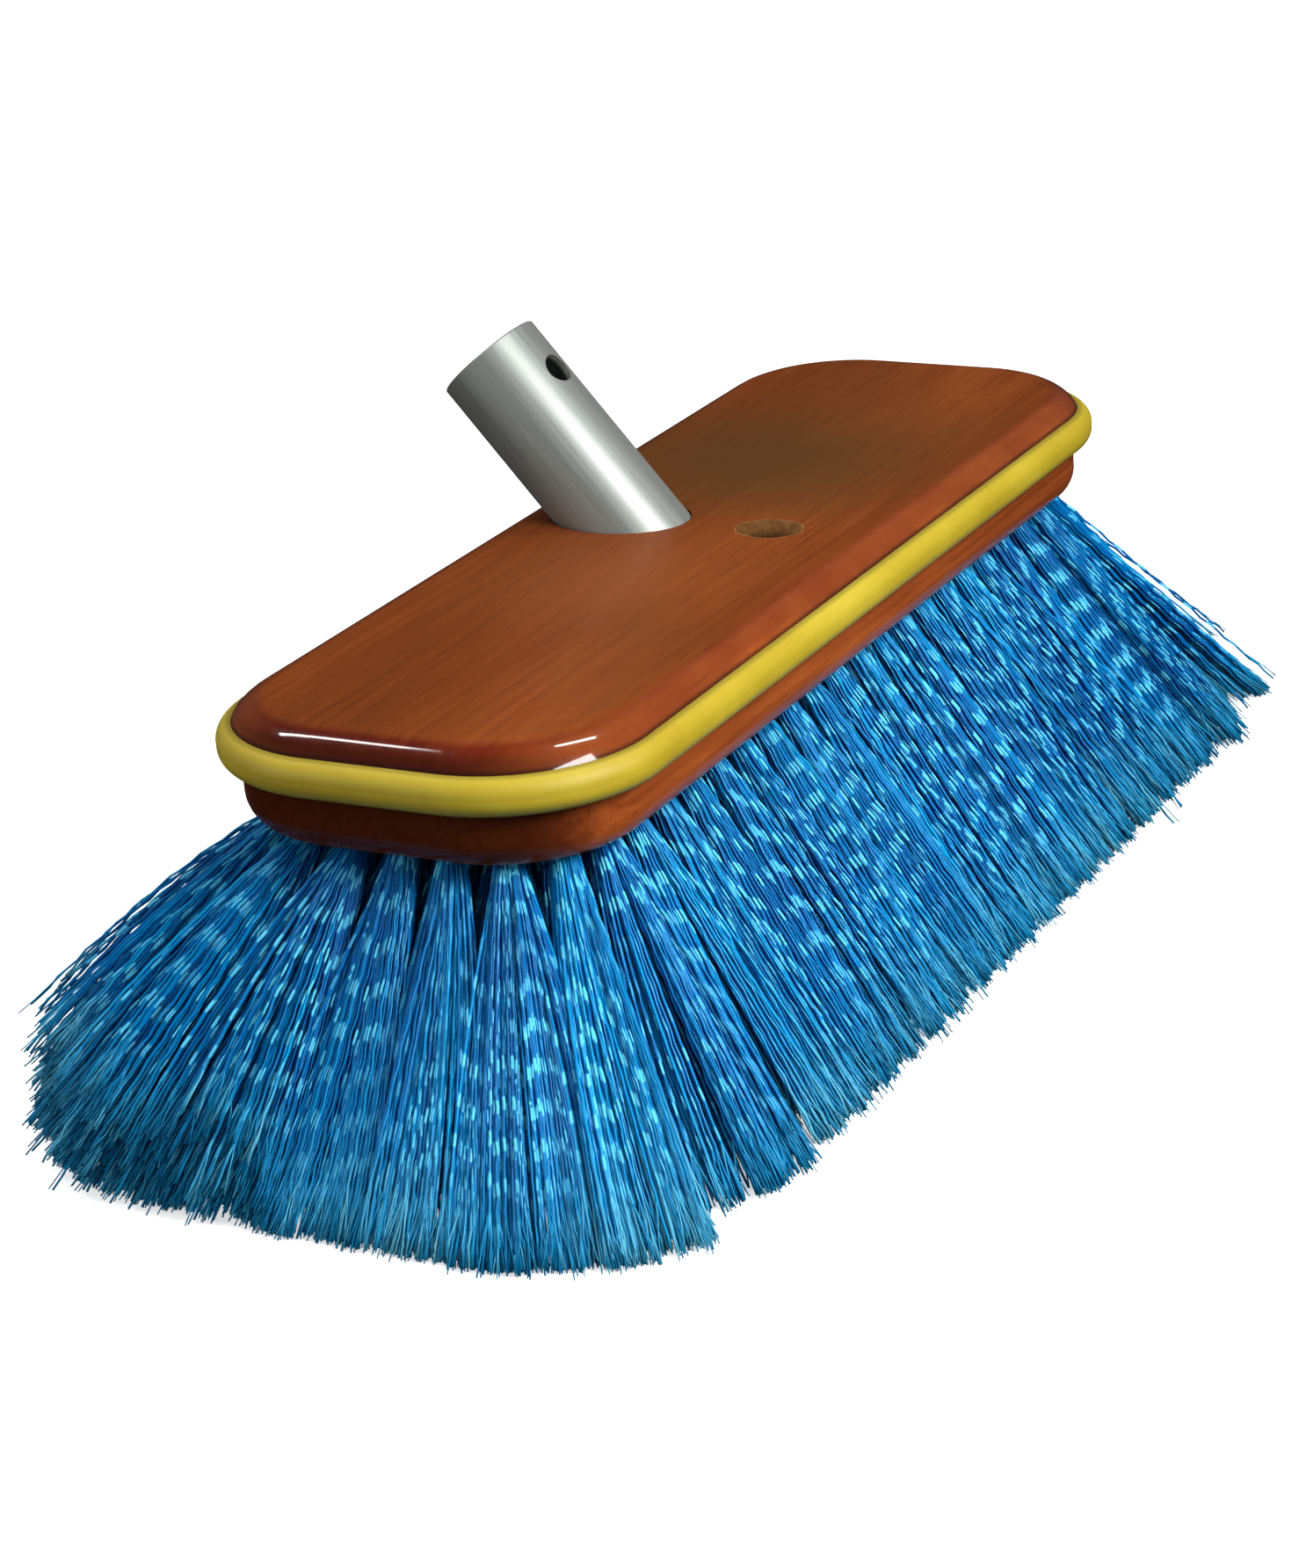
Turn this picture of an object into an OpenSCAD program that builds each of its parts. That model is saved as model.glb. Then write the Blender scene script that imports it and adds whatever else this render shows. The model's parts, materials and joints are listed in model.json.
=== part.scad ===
// Wooden-block wash brush with an edge bumper and a slanted aluminium handle
// ferrule. Millimetres, +Z up. X runs along the block, the ferrule leans
// towards +Y, and the trimmed bristle tips lie in the plane Z = 0.

/* [Wood block] */
// Length of the block at the line where its top meets the bumper
block_l = 254; // [230:1:300]
// Width of the block at the same line
block_w = 81.4; // [80:0.2:96]
// Thickness of the block
block_t = 23.4; // [21:0.2:28]
// Corner radius of the block, seen from above
corner_r = 27.3; // [24:0.1:32]
// How far in from the edge line the rounded top edge starts
top_round_w = 8; // [6:0.2:10]
// Height of the rounded top edge above the bumper
top_round_h = 4.4; // [3:0.1:5.5]
// How far the wood below the bumper stands back from the edge line
lower_inset = 1.2; // [0.4:0.1:2]
// Radius of the bottom edge
bottom_round_r = 6; // [3:0.5:7]

/* [Bumper] */
// Height of the bumper strip
bumper_h = 7.5; // [6:0.1:9]
// How far the bumper stands out past the edge line
bumper_out = 3; // [2:0.1:4]
// Depth of the groove that seats the strip, below the edge line
bumper_seat = 2; // [1:0.1:3]
// Radius of the two outer edges of the strip
bumper_round_r = 3.3; // [1.5:0.1:3.6]
// Gap at the butt joint of the strip
bumper_joint_gap = 0.4; // [0.2:0.1:1]

/* [Handle ferrule] */
// Outside radius of the ferrule tube
tube_r = 11.11; // [10.5:0.01:11.2]
// Wall of the ferrule tube
tube_wall = 1.46; // [1.2:0.02:1.8]
// Lean of the ferrule from upright
lean = 40.8; // [36:0.2:44]
// Length of tube that stands out of the block, along its axis
tube_out = 41.7; // [35:0.1:55]
// Ferrule axis at the top face, off the middle of the block's length
ferrule_x = 1.7; // [0:0.1:3]
// Ferrule axis at the top face, off the middle of the block's width
ferrule_y = 16.8; // [15:0.1:18]
// Radius of the hole for the pole's spring button
button_hole_r = 3.175; // [3:0.025:3.5]
// Distance of that hole from the open end of the tube
button_hole_in = 11.5; // [9:0.5:16]
// Radial clearance of the ferrule in its hole in the wood
ferrule_gap = 0.35; // [0.2:0.05:0.5]

/* [Retaining screw] */
// Angle of the screw below the block's top face
screw_angle = 55; // [50:1:58]
// Middle of the screw pocket's mouth, off the middle of the block's width
pocket_y = -16.5; // [-18:0.1:-15]
// Radius of the pocket
pocket_r = 5.7; // [5.2:0.1:6]
// Depth of the pocket along the screw
pocket_depth = 6.5; // [6:0.1:7.5]
// Radius of the screw head
screw_head_r = 3.7; // [3:0.1:4]
// Radius of the screw's shank
screw_r = 1.7; // [1.4:0.1:1.9]
// Length of the screw under its head, which ends in the wall of the tube
screw_l = 9.4; // [8.4:0.1:9.4]

/* [Bristles] */
// Height of the bristles, from the wood to the trimmed tips
bristle_l = 55.5; // [40:0.5:70]
// Spacing of the tufts along a row
tuft_pitch = 10.4; // [9.8:0.1:12]
// Distance between neighbouring rows
row_gap = 10; // [9.5:0.1:11]
// Distance of the outer row from the side of the wood
tuft_inset = 9.8; // [9:0.1:11]
// Radius of a tuft where it leaves its hole
tuft_r = 2.6; // [2.2:0.1:2.8]
// Radius of a tuft at the trimmed tips
tip_r = 5.4; // [4:0.1:5.5]
// Radius of a tuft hole
tuft_hole_r = 2.8; // [2.7:0.05:3]
// Depth of a tuft hole
tuft_hole_depth = 9; // [7:0.5:9]
// Outward slope of the tufts on the long sides
side_flare = 0.67; // [0.4:0.01:0.7]
// Extra outward slope of the tufts at the ends
end_flare = 0.52; // [0.3:0.01:0.55]
// Slope along the block that grows evenly from its middle to its ends
fan = 0.2; // [0.1:0.01:0.25]

/* [Hidden] */

$fn = 96;
half_l = block_l / 2;
half_w = block_w / 2;
block_top = bristle_l + block_t;
// A cut runs this far past the face that it opens
over = 2;

// The rounded top edge is an arc that starts flush with the top face
top_arc_r = (pow(top_round_w, 2) + pow(top_round_h, 2)) / (2 * top_round_h);
bumper_z = block_t - top_round_h - bumper_h;
bore_r = tube_r + ferrule_gap;
tube_bore_r = tube_r - tube_wall;
// The buried end of the tube is cut level, this far above the underside of the wood
tube_recess = 1;
tube_end_chamfer = 0.3;
screw_head_h = 2.2;
screw_crown_r = 0.7 * screw_head_r;
screw_point_l = 2.5;
screw_point_r = 0.2;
screw_hole_r = screw_r + 0.1;
driver_slot_w = 0.9;
driver_slot_l = 3.6;
driver_slot_depth = 1.2;
// Turn of the cross-shaped recess about the screw
driver_slot_turn = 20;
// The hole for the screw runs this far past its point
screw_hole_extra = 1;

// Sides of a tuft and of its hole
tuft_sides = 32;

// Anchor: the flat piece of wire that holds a folded tuft in its hole
anchor_l = 4.8;
anchor_w = 0.45;
anchor_h = 2;

// The outer row follows the plan of the wood, and each inner row lies one gap further in
row_l = half_l - lower_inset - tuft_inset;
row_w = half_w - lower_inset - tuft_inset;
row_r = corner_r - lower_inset - tuft_inset;
side_span = row_l - row_r;
outer_side_n = round(2 * side_span / tuft_pitch) + 1;
outer_end_n = ceil((PI * row_r + 2 * (row_w - row_r)) / tuft_pitch) - 1;
second_end_n = ceil((PI * (row_r - row_gap) + 2 * (row_w - row_r)) / tuft_pitch) - 1;
inner_span = row_l - 2 * row_gap;
// Length at each end of the block over which the end flare sets in
end_zone = 36;
side_flare_power = 1.3;
// Least wood left between a tuft hole and the ferrule's hole
web = 0.5;

// Tuft places: the point where each tuft's axis leaves the underside of the wood
outer_front = clear_of_ferrule(side_row(side_span, outer_side_n, -row_w));
outer_rear = clear_of_ferrule(side_row(side_span, outer_side_n, row_w));
outer_right = end_row(0, outer_end_n);
outer_left = mirrored(outer_right);
second_front = clear_of_ferrule(side_row(side_span, outer_side_n - 1, -(row_w - row_gap)));
second_rear = clear_of_ferrule(side_row(side_span, outer_side_n - 1, row_w - row_gap));
second_right = end_row(row_gap, second_end_n);
second_left = mirrored(second_right);
third_front = clear_of_ferrule(side_row(inner_span, outer_side_n - 2, -(row_w - 2 * row_gap)));
third_rear = clear_of_ferrule(side_row(inner_span, outer_side_n - 2, row_w - 2 * row_gap));
middle = clear_of_ferrule(side_row(inner_span, outer_side_n - 1, 0));
all_tufts = concat(outer_front, outer_rear, outer_left, outer_right,
    second_front, second_rear, second_left, second_right, third_front, third_rear, middle);

function side_row(span, n, y) = [for (i = [0 : n - 1]) [-span + 2 * span * i / (n - 1), y]];

function mirrored(points) = [for (p = points) [-p.x, p.y]];

// n points spaced evenly round the +X end of the row that lies inset from the outer one
function end_row(inset, n) =
    let (r = row_r - inset, flat = 2 * (row_w - row_r), total = PI * r + flat)
    [for (i = [1 : n]) end_point(total * i / (n + 1), r, flat)];

function end_point(s, r, flat) =
    let (quarter = PI * r / 2, turn = 180 / (PI * r))
    s < quarter ? [side_span + r * sin(s * turn), -flat / 2 - r * cos(s * turn)]
    : s < quarter + flat ? [side_span + r, s - quarter - flat / 2]
    : let (a = (s - quarter - flat) * turn) [side_span + r * cos(a), flat / 2 + r * sin(a)];

// Outward slope of a tuft's axis, in X and Y, for each unit that it drops
function flare(p) =
    let (into_end = max(0, abs(p.x) - (row_l - end_zone)) / end_zone)
    [fan * p.x / row_l + end_flare * sign(p.x) * pow(into_end, 2),
     side_flare * sign(p.y) * pow(abs(p.y) / row_w, side_flare_power)];

// The ferrule's hole crosses this height above the underside at this Y
function bore_y(h) = ferrule_y - tan(lean) * (block_t - h);

function clears(p, h) =
    let (q = p - h * flare(p), room = tuft_hole_r + web)
    pow((q.x - ferrule_x) / (bore_r + room), 2)
        + pow((q.y - bore_y(h)) / (bore_r / cos(lean) + room), 2) > 1;

function clear_of_ferrule(points) =
    [for (p = points) if (clears(p, 0) && clears(p, tuft_hole_depth)) p];

// Carries a 2-D profile round the plan of the block. The profile's X runs outwards from the edge line.
module around_block() {
    for (turn = [0, 180]) {
        rotate(turn) edge_run(half_l, half_w - corner_r) children();
        rotate(turn + 90) edge_run(half_w, half_l - corner_r) children();
        rotate(turn) edge_corner(half_l - corner_r, half_w - corner_r, 0) children();
        rotate(turn) edge_corner(-(half_l - corner_r), half_w - corner_r, 90) children();
    }
}

module edge_run(out, span) {
    translate([out, span, 0])
        rotate([90, 0, 0])
            linear_extrude(2 * span)
                children();
}

module edge_corner(x, y, turn) {
    translate([x, y, 0])
        rotate(turn)
            rotate_extrude(angle = 90)
                translate([corner_r, 0])
                    children();
}

// Half of the block's section, from the corner's centre out to its edge line
module wood_profile() {
    lower_x = -lower_inset - bottom_round_r;
    difference() {
        translate([-corner_r, 0])
            square([corner_r, block_t]);
        difference() {
            translate([-top_round_w, block_t - top_round_h])
                square([top_round_w + over, top_round_h + over]);
            translate([-top_round_w, block_t - top_arc_r])
                circle(top_arc_r);
        }
        translate([-bumper_seat, bumper_z])
            square([bumper_seat + over, bumper_h]);
        translate([-lower_inset, -over])
            square([lower_inset + over, bumper_z + over]);
        difference() {
            translate([lower_x, -over])
                square([bottom_round_r + over, bottom_round_r + over]);
            translate([lower_x, bottom_round_r])
                circle(bottom_round_r);
        }
    }
}

// Section of the bumper strip: a flat back in the groove and two rounded outer edges
module bumper_profile() {
    arc_x = bumper_out - bumper_round_r;
    translate([-bumper_seat, bumper_z])
        square([bumper_seat + arc_x, bumper_h]);
    translate([-bumper_seat, bumper_z + bumper_round_r])
        square([bumper_seat + bumper_out, bumper_h - 2 * bumper_round_r]);
    for (z = [bumper_z + bumper_round_r, bumper_z + bumper_h - bumper_round_r])
        translate([arc_x, z])
            circle(bumper_round_r);
}

// Local +Z runs down the tuft from the point where it leaves the wood
module at_tuft(p) {
    slope = flare(p);
    translate([p.x, p.y, bristle_l])
        rotate([0, 0, atan2(slope.y, slope.x)])
            rotate([0, 180 - atan(norm(slope)), 0])
                children();
}

// Local +Z runs up the ferrule from the point where its axis meets the top face
module at_ferrule() {
    translate([ferrule_x, ferrule_y, block_top])
        rotate([-lean, 0, 0])
            children();
}

// Local +Z runs down the screw from the middle of its pocket's mouth
module at_screw() {
    translate([ferrule_x, pocket_y, block_top])
        rotate([-90 - screw_angle, 0, 0])
            children();
}

module tuft(p) {
    drop = bristle_l / cos(atan(norm(flare(p))));
    reach = drop + 2 * tip_r;
    at_tuft(p) {
        translate([0, 0, anchor_h - tuft_hole_depth])
            cylinder(r = tuft_r, h = tuft_hole_depth - anchor_h, $fn = tuft_sides);
        cylinder(r1 = tuft_r, r2 = tuft_r + (tip_r - tuft_r) * reach / drop, h = reach, $fn = tuft_sides);
    }
}

module tuft_row(points) {
    color("royalblue")
        difference() {
            for (p = points)
                tuft(p);
            translate([-block_l, -block_l, -bristle_l])
                cube([2 * block_l, 2 * block_l, bristle_l]);
        }
}

module anchor_row(points) {
    color("gold")
        for (p = points)
            at_tuft(p)
                translate([-anchor_l / 2, -anchor_w / 2, -tuft_hole_depth])
                    cube([anchor_l, anchor_w, anchor_h]);
}

module wood_block() {
    color("sienna")
        difference() {
            translate([0, 0, bristle_l]) {
                around_block()
                    wood_profile();
                translate([corner_r - half_l, corner_r - half_w, 0])
                    cube([2 * (half_l - corner_r), 2 * (half_w - corner_r), block_t]);
            }
            at_ferrule()
                translate([0, 0, -2 * block_t])
                    cylinder(r = bore_r, h = 2 * block_t + bore_r);
            at_screw() {
                translate([0, 0, -2 * pocket_r])
                    cylinder(r = pocket_r, h = pocket_depth + 2 * pocket_r);
                cylinder(r = screw_hole_r, h = pocket_depth + screw_l + screw_hole_extra);
            }
            for (p = all_tufts)
                at_tuft(p)
                    translate([0, 0, -tuft_hole_depth])
                        cylinder(r = tuft_hole_r, h = tuft_hole_depth + 2 * over, $fn = tuft_sides);
        }
}

module edge_bumper() {
    color("gold")
        difference() {
            translate([0, 0, bristle_l])
                around_block()
                    bumper_profile();
            translate([-bumper_joint_gap / 2, 0, bristle_l])
                cube([bumper_joint_gap, block_w, block_t]);
        }
}

module handle_ferrule() {
    color("silver")
        difference() {
            at_ferrule()
                difference() {
                    union() {
                        translate([0, 0, -2 * block_t])
                            cylinder(r = tube_r, h = 2 * block_t + tube_out - tube_end_chamfer);
                        translate([0, 0, tube_out - tube_end_chamfer])
                            cylinder(r1 = tube_r, r2 = tube_r - tube_end_chamfer, h = tube_end_chamfer);
                    }
                    translate([0, 0, -2 * block_t - over])
                        cylinder(r = tube_bore_r, h = 2 * block_t + tube_out + 2 * over);
                    translate([0, 0, tube_out - button_hole_in])
                        rotate([90, 0, 0])
                            cylinder(r = button_hole_r, h = tube_r + over);
                }
            translate([-block_w, -block_w, 0])
                cube([2 * block_w, 2 * block_w, bristle_l + tube_recess]);
            at_screw()
                cylinder(r = screw_hole_r, h = pocket_depth + screw_l + screw_hole_extra);
        }
}

module ferrule_screw() {
    color("dimgray")
        at_screw()
            translate([0, 0, pocket_depth]) {
                difference() {
                    translate([0, 0, -screw_head_h]) {
                        cylinder(r1 = screw_crown_r, r2 = screw_head_r, h = screw_head_h / 2);
                        translate([0, 0, screw_head_h / 2])
                            cylinder(r = screw_head_r, h = screw_head_h / 2);
                    }
                    for (turn = [driver_slot_turn, driver_slot_turn + 90])
                        rotate(turn)
                            translate([-driver_slot_l / 2, -driver_slot_w / 2, -screw_head_h - over])
                                cube([driver_slot_l, driver_slot_w, driver_slot_depth + over]);
                }
                cylinder(r = screw_r, h = screw_l - screw_point_l);
                translate([0, 0, screw_l - screw_point_l])
                    cylinder(r1 = screw_r, r2 = screw_point_r, h = screw_point_l);
            }
}

wood_block();
edge_bumper();
handle_ferrule();
ferrule_screw();
tuft_row(outer_front);  // tufts_outer_front
tuft_row(outer_rear);  // tufts_outer_rear
tuft_row(outer_left);  // tufts_outer_left
tuft_row(outer_right);  // tufts_outer_right
tuft_row(second_front);  // tufts_second_front
tuft_row(second_rear);  // tufts_second_rear
tuft_row(second_left);  // tufts_second_left
tuft_row(second_right);  // tufts_second_right
tuft_row(third_front);  // tufts_third_front
tuft_row(third_rear);  // tufts_third_rear
tuft_row(middle);  // tufts_middle
anchor_row(outer_front);  // anchors_outer_front
anchor_row(outer_rear);  // anchors_outer_rear
anchor_row(outer_left);  // anchors_outer_left
anchor_row(outer_right);  // anchors_outer_right
anchor_row(second_front);  // anchors_second_front
anchor_row(second_rear);  // anchors_second_rear
anchor_row(second_left);  // anchors_second_left
anchor_row(second_right);  // anchors_second_right
anchor_row(third_front);  // anchors_third_front
anchor_row(third_rear);  // anchors_third_rear
anchor_row(middle);  // anchors_middle
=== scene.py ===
"""Looks of the wooden-block wash brush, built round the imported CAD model."""

import json
import math

import bpy
import numpy as np
from mathutils import Matrix, Vector


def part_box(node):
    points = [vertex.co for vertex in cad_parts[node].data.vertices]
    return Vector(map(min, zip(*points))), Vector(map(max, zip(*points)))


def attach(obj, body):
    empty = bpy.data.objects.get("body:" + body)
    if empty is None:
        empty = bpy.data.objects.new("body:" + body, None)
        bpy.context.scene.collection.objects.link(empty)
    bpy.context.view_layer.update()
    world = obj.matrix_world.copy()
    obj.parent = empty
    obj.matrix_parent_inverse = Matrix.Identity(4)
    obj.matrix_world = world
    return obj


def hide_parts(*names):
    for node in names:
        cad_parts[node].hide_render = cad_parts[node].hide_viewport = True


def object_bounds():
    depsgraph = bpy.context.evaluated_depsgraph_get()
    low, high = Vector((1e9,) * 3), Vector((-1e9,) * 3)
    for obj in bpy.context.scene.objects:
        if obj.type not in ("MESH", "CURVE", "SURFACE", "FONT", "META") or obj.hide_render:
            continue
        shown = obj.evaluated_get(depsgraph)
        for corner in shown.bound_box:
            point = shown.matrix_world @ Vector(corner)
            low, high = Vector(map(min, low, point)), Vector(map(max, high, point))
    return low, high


MM = 0.001
SEED = 434

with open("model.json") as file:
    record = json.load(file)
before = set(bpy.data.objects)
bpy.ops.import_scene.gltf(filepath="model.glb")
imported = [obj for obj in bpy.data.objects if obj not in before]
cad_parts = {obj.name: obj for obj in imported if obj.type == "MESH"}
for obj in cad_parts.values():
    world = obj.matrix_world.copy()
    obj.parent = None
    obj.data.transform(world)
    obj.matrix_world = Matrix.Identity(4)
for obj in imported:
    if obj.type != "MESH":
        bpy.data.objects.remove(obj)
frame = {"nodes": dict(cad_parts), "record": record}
cad_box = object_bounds()

# ---- design values repeated from part.scad, in metres and degrees ----------
TOP_ROUND_H = 4.4 * MM
BUMPER_H = 7.5 * MM
TUBE_R, TUBE_WALL, FERRULE_GAP = 11.11 * MM, 1.46 * MM, 0.35 * MM
LEAN = 40.8
FERRULE_X, FERRULE_Y = 1.7 * MM, 16.8 * MM
SCREW_ANGLE, POCKET_Y, POCKET_R = 55, -16.5 * MM, 5.7 * MM
TUFT_R, TIP_R, TUFT_HOLE_DEPTH = 2.6 * MM, 5.4 * MM, 9 * MM

wood_lo, wood_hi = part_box("wood_block")
UNDERSIDE, BLOCK_TOP = wood_lo.z, wood_hi.z
EDGE_Z = BLOCK_TOP - TOP_ROUND_H
BUMPER_Z = EDGE_Z - BUMPER_H
FERRULE_FOOT = Vector((FERRULE_X, FERRULE_Y, BLOCK_TOP))
FERRULE_AXIS = Vector((0, math.sin(math.radians(LEAN)), math.cos(math.radians(LEAN))))
POCKET_MOUTH = Vector((FERRULE_X, POCKET_Y, BLOCK_TOP))
SCREW_AXIS = Vector(
    (0, math.cos(math.radians(SCREW_ANGLE)), -math.sin(math.radians(SCREW_ANGLE)))
)

# ---- bristles ---------------------------------------------------------------
SIDES = 3
FILAMENT_R = 0.33 * MM
# One crimp wave's length and half its height, and the length over which the crimp sets in
WAVE = 7.6 * MM
CRIMP = 0.20 * MM
CRIMP_FADE_IN = 6 * MM
# The painted highlight on a filament lies this far round the crimp wave from its crest, in
# radians
GLINT_SHIFT = 0.8
ROOT_DEPTH = 5 * MM
# Each tuft's filaments draw together into this many locks
LOCKS = 9
GOLDEN_ANGLE = 2.39996
# Filaments thin out past this share of their length, at this rate
TAPER_FROM, TAPER = 0.86, 1.5
# Split ends: how many to a filament, their radius, rings, start and spread
FLAGS = 2
FLAG_R = 0.17 * MM
FLAG_RINGS = 4
FLAG_START = 0.84
FLAG_SPREAD = 1.0 * MM
# Corner radius of the outline that the tips are trimmed to
FOOTPRINT_R = 42 * MM
# How unevenly the tips end: sideways, at the trimmed outline, and upwards
TIP_SCATTER = 0.5 * MM
TRIM_SCATTER = 0.6 * MM
LOCK_TRIM, LOCK_TRIM_SCATTER = -0.3 * MM, 0.8 * MM
TIP_RISE = 0.35 * MM
# The lowest that a filament's axis and a split end's axis go
FILAMENT_LOWEST, FLAG_LOWEST = 0.3 * MM, 0.1 * MM
# Strays stand out from their tuft by a length in the first range, and up by one in the second
STRAY_SHARE = 0.012
STRAY_OUT, STRAY_UP = (2 * MM, 7 * MM), (0, 5 * MM)
# The rear corners are splayed by use from this far along the block, fully where the tips are
# this far behind the middle, and their tips lift this much
REAR_SPLAY_FROM = 55 * MM
REAR_SPLAY_BEHIND = 20 * MM
REAR_LIFT = 22 * MM
# A tuft whose tips spread past this many CAD tip radii gets extra filaments
WIDE_FROM = 1.7
# name of the CAD node: (filaments in a tuft, rings per crimp wave, pieces that it is split into)
ROWS = {
    "tufts_outer_front": (125, 3, 4),
    "tufts_outer_rear": (125, 3, 4),
    "tufts_outer_left": (170, 3, 3),
    "tufts_outer_right": (170, 3, 3),
    "tufts_second_front": (64, 3, 2),
    "tufts_second_rear": (64, 3, 2),
    "tufts_second_left": (110, 3, 1),
    "tufts_second_right": (110, 3, 1),
    "tufts_third_front": (50, 2, 1),
    "tufts_third_rear": (50, 2, 1),
    "tufts_middle": (50, 2, 1),
}


def islands(node):
    """The points of each separate solid in a CAD node."""
    mesh = frame["nodes"][node].data
    co = np.empty(len(mesh.vertices) * 3)
    mesh.vertices.foreach_get("co", co)
    co = co.reshape(-1, 3)
    points, same = np.unique(np.round(co, 6), axis=0, return_inverse=True)
    same = same.ravel()
    edges = np.empty(len(mesh.edges) * 2, np.int64)
    mesh.edges.foreach_get("vertices", edges)
    a, b = same[edges.reshape(-1, 2)].T
    label = np.arange(len(points))
    while True:
        low = np.minimum(label[a], label[b])
        new = label.copy()
        np.minimum.at(new, a, low)
        np.minimum.at(new, b, low)
        new = new[new]
        if (new == label).all():
            break
        label = new
    return [points[label == i] for i in np.unique(label)]


def tuft_axis(points):
    """Where a tuft's axis leaves the wood, and its direction downwards."""
    top = points[points[:, 2] > points[:, 2].max() - 0.4 * TUFT_HOLE_DEPTH]
    inner = (top.min(0) + top.max(0)) / 2
    ring = points[np.abs(points[:, 2] - UNDERSIDE) < 2 * MM]
    leaves = (ring.min(0) + ring.max(0)) / 2
    down = leaves - inner
    return leaves, down / np.linalg.norm(down)


def unit(v):
    return v / np.linalg.norm(v, axis=-1, keepdims=True)


TUFTS = {node: [tuft_axis(p) for p in islands(node)] for node in ROWS}
ALL_TIPS = np.array(
    [p + d * (p[2] / -d[2]) for tufts in TUFTS.values() for p, d in tufts]
)[:, :2]


def room_towards(tip, way):
    """Half the distance to the nearest neighbouring tuft's tips that way, with some overlap."""
    to = ALL_TIPS - tip
    far = np.linalg.norm(to, axis=1)
    ahead = (to @ way > 0.75 * far) & (far > 1 * MM)
    if not ahead.any():
        return TIP_R
    return min(0.72 * far[ahead].min(), 3.4 * TIP_R)


def inside_footprint(xy, slack):
    """Moves the tips that lie past the trimmed outline, less slack, back on to it."""
    half = np.array([cad_box[1].x, cad_box[1].y]) - slack[:, None]
    core = half - FOOTPRINT_R
    past = np.abs(xy) - core
    corner = np.maximum(past, 0)
    reach = np.linalg.norm(corner, axis=1)
    shrink = np.minimum(1, FOOTPRINT_R / np.maximum(reach, 1e-9))
    return np.where(past > 0, np.sign(xy) * (core + corner * shrink[:, None]), xy)


def strand_mesh(paths, radii):
    """Closed tubes along paths [strand, ring, xyz], with one radius for each ring."""
    n, rings, _ = paths.shape
    along = unit(paths[:, -1] - paths[:, 0])
    side = unit(np.cross(along, [0.31, 0.53, 0.79]))
    other = np.cross(along, side)
    turn = rng.uniform(0, 2 * np.pi, (n, 1)) + np.arange(SIDES) * 2 * np.pi / SIDES
    spoke = (
        np.cos(turn)[..., None] * side[:, None] + np.sin(turn)[..., None] * other[:, None]
    )
    co = paths[:, :, None] + radii[:, :, None, None] * spoke[:, None]
    first = np.arange(n)[:, None, None] * rings * SIDES
    ring = np.arange(rings - 1)[None, :, None] * SIDES
    j = np.arange(SIDES)[None, None, :]
    k = (j + 1) % SIDES
    quads = np.stack(
        [
            first + ring + j,
            first + ring + k,
            first + ring + SIDES + k,
            first + ring + SIDES + j,
        ],
        -1,
    ).reshape(-1, 4)
    start = np.arange(n)[:, None] * rings * SIDES
    caps = np.concatenate(
        [
            start + np.arange(SIDES)[::-1],
            start + (rings - 1) * SIDES + np.arange(SIDES),
        ]
    )
    return co.reshape(-1, 3), quads, caps


def build_piece(name, parts):
    """One mesh from several (co, quads, caps, tone, along, crimp)."""
    co, quads, caps, tone, along, crimp = [], [], [], [], [], []
    base = 0
    for c, q, k, t, a, w in parts:
        co.append(c)
        quads.append(q + base)
        caps.append(k + base)
        tone.append(t)
        along.append(a)
        crimp.append(w)
        base += len(c)
    co = np.concatenate(co)
    quads, caps = np.concatenate(quads), np.concatenate(caps)
    mesh = bpy.data.meshes.new(name)
    mesh.vertices.add(len(co))
    mesh.vertices.foreach_set("co", co.astype(np.float32).ravel())
    loops = np.concatenate([quads.ravel(), caps.ravel()])
    mesh.loops.add(len(loops))
    mesh.loops.foreach_set("vertex_index", loops.astype(np.int32))
    starts = np.concatenate(
        [np.arange(len(quads)) * 4, len(quads) * 4 + np.arange(len(caps)) * SIDES]
    )
    mesh.polygons.add(len(starts))
    mesh.polygons.foreach_set("loop_start", starts.astype(np.int32))
    mesh.polygons.foreach_set("use_smooth", np.ones(len(starts), bool))
    mesh.update(calc_edges=True)
    for key, values in (("tone", tone), ("along", along), ("crimp", crimp)):
        layer = mesh.attributes.new(key, "FLOAT", "POINT")
        layer.data.foreach_set("value", np.concatenate(values).astype(np.float32))
    piece = bpy.data.objects.new(name, mesh)
    bpy.context.scene.collection.objects.link(piece)
    return piece


def tuft_ways(leaves, down):
    """In plan, the way a tuft leans outwards and the way across it."""
    out = np.array([down[0], down[1]])
    if np.linalg.norm(out) < 0.12 or abs(leaves[1]) < 1 * MM:
        out = np.array([0.0, 1.0])
    out = out / np.linalg.norm(out)
    return out, np.array([-out[1], out[0]])


def rear_splay(tip):
    """How far use has splayed a tuft at a rear corner, from 0 to 1."""
    if tip[1] <= 0:
        return 0.0
    towards_end = min(max(abs(tip[0]) / REAR_SPLAY_FROM - 1, 0), 1)
    return towards_end * min(tip[1] / REAR_SPLAY_BEHIND, 1)


def scatter(count):
    """Even places on the unit disc, each one's lock, and the places drawn to their locks."""
    i = np.arange(count) + 0.5
    rad = np.sqrt(i / count)
    ang = i * GOLDEN_ANGLE + rng.uniform(0, 6.28)
    uv = np.stack([rad * np.cos(ang), rad * np.sin(ang)], 1)
    uv += rng.normal(0, 0.05, uv.shape)
    uv /= np.maximum(1, np.linalg.norm(uv, axis=1))[:, None]
    locks = rng.uniform(-0.85, 0.85, (LOCKS, 2))
    lock = np.linalg.norm(uv[:, None] - locks[None], axis=2).argmin(1)
    drawn = uv + (locks[lock] - uv) * rng.uniform(0.05, 0.32, (count, 1))
    return uv, lock, drawn


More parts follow.
